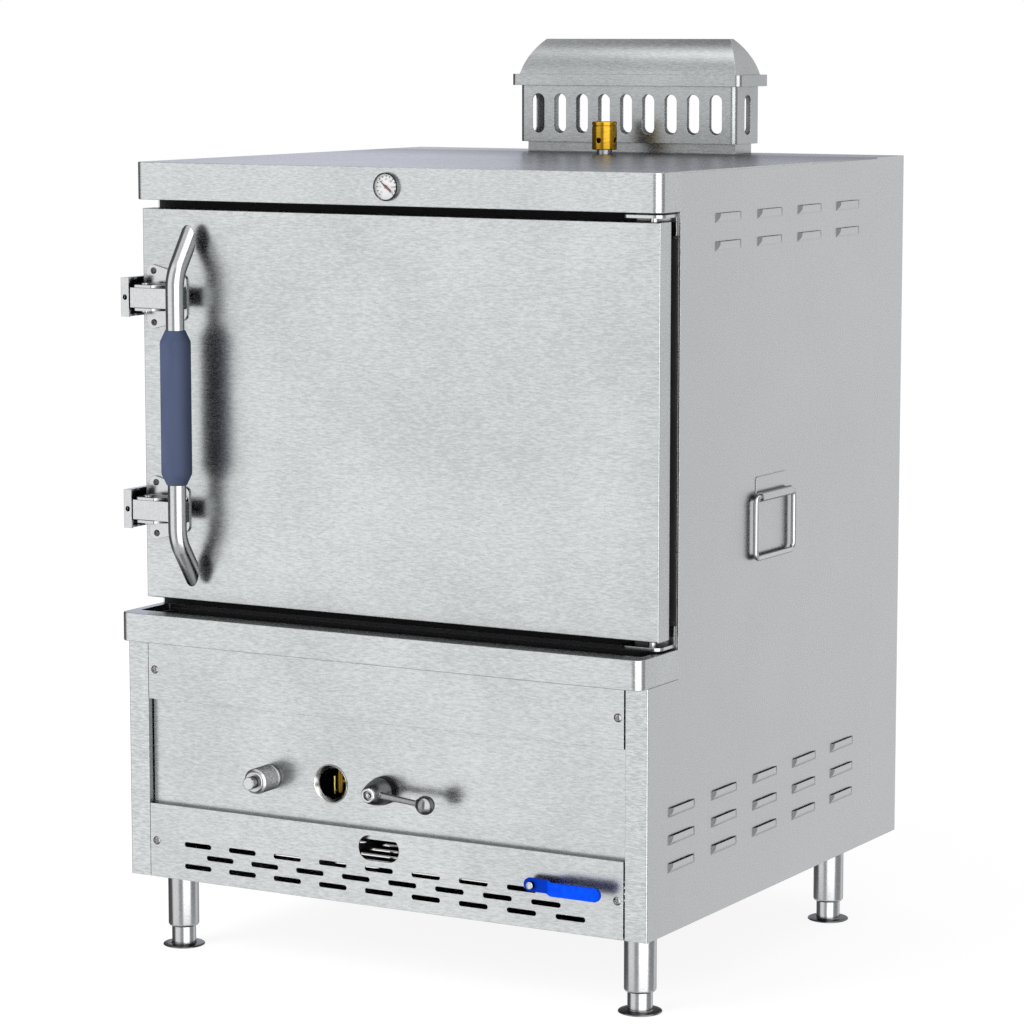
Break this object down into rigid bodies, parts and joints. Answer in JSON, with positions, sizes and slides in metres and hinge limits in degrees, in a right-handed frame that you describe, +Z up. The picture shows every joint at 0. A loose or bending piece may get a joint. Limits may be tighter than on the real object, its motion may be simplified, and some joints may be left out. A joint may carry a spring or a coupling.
{
  "type": "steam cabinet",
  "caption": "Free-standing gas steam cabinet: a latched swing door over a drip gutter, a burner base with gas and drain valves on screw feet, and a slotted rear flue.",
  "frame": {"origin": "on the floor, under the middle of the cabinet's outer box", "axes": "+Z up, +X to the right as seen from the front, +Y from the door towards the flue"},
  "size_m": [0.7844, 0.81, 1.185],
  "materials": {
    "casing_steel": "fine horizontal brush",
    "inner_steel": "mill finish stainless sheet",
    "bright_steel": "satin polished stainless",
    "black_rubber": "matte black rubber",
    "grip_rubber": "matte slate-blue sleeve",
    "lever_sleeve": "dipped blue vinyl",
    "brass": "turned brass",
    "burner_iron": "sand-cast iron",
    "pipe_steel": "black steel pipe",
    "mineral_wool": "mineral wool felt",
    "dial_white": "printed dial",
    "pointer_red": "red enamel",
    "lens_glass": "clear glass"
  },
  "bodies": {
    "cabinet": {"left_side_panel": "casing_steel", "right_side_panel": "casing_steel", "top_cover": "casing_steel", "rear_cover": "casing_steel", "drip_gutter": "casing_steel", "strip_panel": "casing_steel", "control_panel": "casing_steel", "slotted_panel": "casing_steel", "flue_riser": "casing_steel", "flue_box": "casing_steel", "flue_cap": "casing_steel", "chamber_liner": "inner_steel", "shelf_rails": "inner_steel", "steam_shelves": "inner_steel", "water_pan": "inner_steel", "base_floor": "inner_steel", "panel_screws": "bright_steel", "hinge_brackets": "bright_steel", "keeper_brackets": "bright_steel", "side_handle_plates": "bright_steel", "leg_tubes": "bright_steel", "sight_port": "bright_steel", "igniter_body": "bright_steel", "relief_seat": "bright_steel", "thermometer_case": "bright_steel", "face_seal": "black_rubber", "gas_valve_body": "brass", "pilot_burner": "brass", "drain_valve_body": "brass", "burner": "burner_iron", "gas_pipe": "pipe_steel", "drain_pipe": "pipe_steel", "water_inlet": "pipe_steel", "insulation_blanket": "mineral_wool", "thermometer_dial": "dial_white", "thermometer_lens": "lens_glass"},
    "door": {"door_skin": "casing_steel", "door_inner_pan": "inner_steel", "door_insulation": "mineral_wool", "door_gasket": "black_rubber", "hinge_pins": "bright_steel", "latch_bases": "bright_steel", "latch_pins": "bright_steel", "latch_screws": "bright_steel"},
    "handle": {"latch_arms": "bright_steel", "handle_tube": "bright_steel", "handle_grip": "grip_rubber"},
    "gas_lever": {"gas_lever": "bright_steel", "gas_lever_knob": "bright_steel"},
    "drain_lever": {"drain_stem": "bright_steel", "drain_lever": "lever_sleeve"},
    "igniter_button": {"igniter_button": "bright_steel"},
    "relief_weight": {"relief_weight": "brass"},
    "thermometer_pointer": {"thermometer_pointer": "pointer_red"},
    "left_ring": {"left_ring_handle": "bright_steel"},
    "right_ring": {"right_ring_handle": "bright_steel"},
    "front_left_foot": {"front_left_foot": "bright_steel"},
    "front_right_foot": {"front_right_foot": "bright_steel"},
    "rear_left_foot": {"rear_left_foot": "bright_steel"},
    "rear_right_foot": {"rear_right_foot": "bright_steel"}
  },
  "joints": [
    {"name": "door_swing", "type": "hinge", "parent": "cabinet", "child": "door", "pos_m": [0.3597, -0.313, 0.7175], "axis": [0, 0, 1], "range_deg": [0, 135]},
    {"name": "handle_pull", "type": "hinge", "parent": "door", "child": "handle", "pos_m": [-0.355, -0.35, 0.7175], "axis": [0, 0, -1], "range_deg": [0, 35]},
    {"name": "gas_turn", "type": "hinge", "parent": "cabinet", "child": "gas_lever", "pos_m": [0.002, -0.353, 0.251], "axis": [0, 1, 0], "range_deg": [0, 90]},
    {"name": "drain_turn", "type": "hinge", "parent": "cabinet", "child": "drain_lever", "pos_m": [0.228, -0.363, 0.161], "axis": [0, 1, 0], "range_deg": [0, 90]},
    {"name": "igniter_press", "type": "slide", "parent": "cabinet", "child": "igniter_button", "axis": [0, 1, 0], "range_m": [0, 0.006], "stiffness_N_per_m": 900},
    {"name": "relief_lift", "type": "slide", "parent": "cabinet", "child": "relief_weight", "axis": [0, 0, 1], "range_m": [0, 0.012]},
    {"name": "pointer_turn", "type": "hinge", "parent": "cabinet", "child": "thermometer_pointer", "pos_m": [0, -0.3368, 1.0055], "axis": [0, 1, 0], "range_deg": [-90, 180], "stiffness_Nm_per_rad": 0.002},
    {"name": "left_ring_swing", "type": "hinge", "parent": "cabinet", "child": "left_ring", "pos_m": [-0.3862, -0.0292, 0.615], "axis": [0, 1, 0], "range_deg": [0, 90]},
    {"name": "right_ring_swing", "type": "hinge", "parent": "cabinet", "child": "right_ring", "pos_m": [0.3862, -0.0292, 0.615], "axis": [0, -1, 0], "range_deg": [0, 90]},
    {"name": "front_left_foot_screw", "type": "slide", "parent": "cabinet", "child": "front_left_foot", "axis": [0, 0, -1], "range_m": [0, 0.025]},
    {"name": "front_right_foot_screw", "type": "slide", "parent": "cabinet", "child": "front_right_foot", "axis": [0, 0, -1], "range_m": [0, 0.025]},
    {"name": "rear_left_foot_screw", "type": "slide", "parent": "cabinet", "child": "rear_left_foot", "axis": [0, 0, -1], "range_m": [0, 0.025]},
    {"name": "rear_right_foot_screw", "type": "slide", "parent": "cabinet", "child": "rear_right_foot", "axis": [0, 0, -1], "range_m": [0, 0.025]}
  ]
}
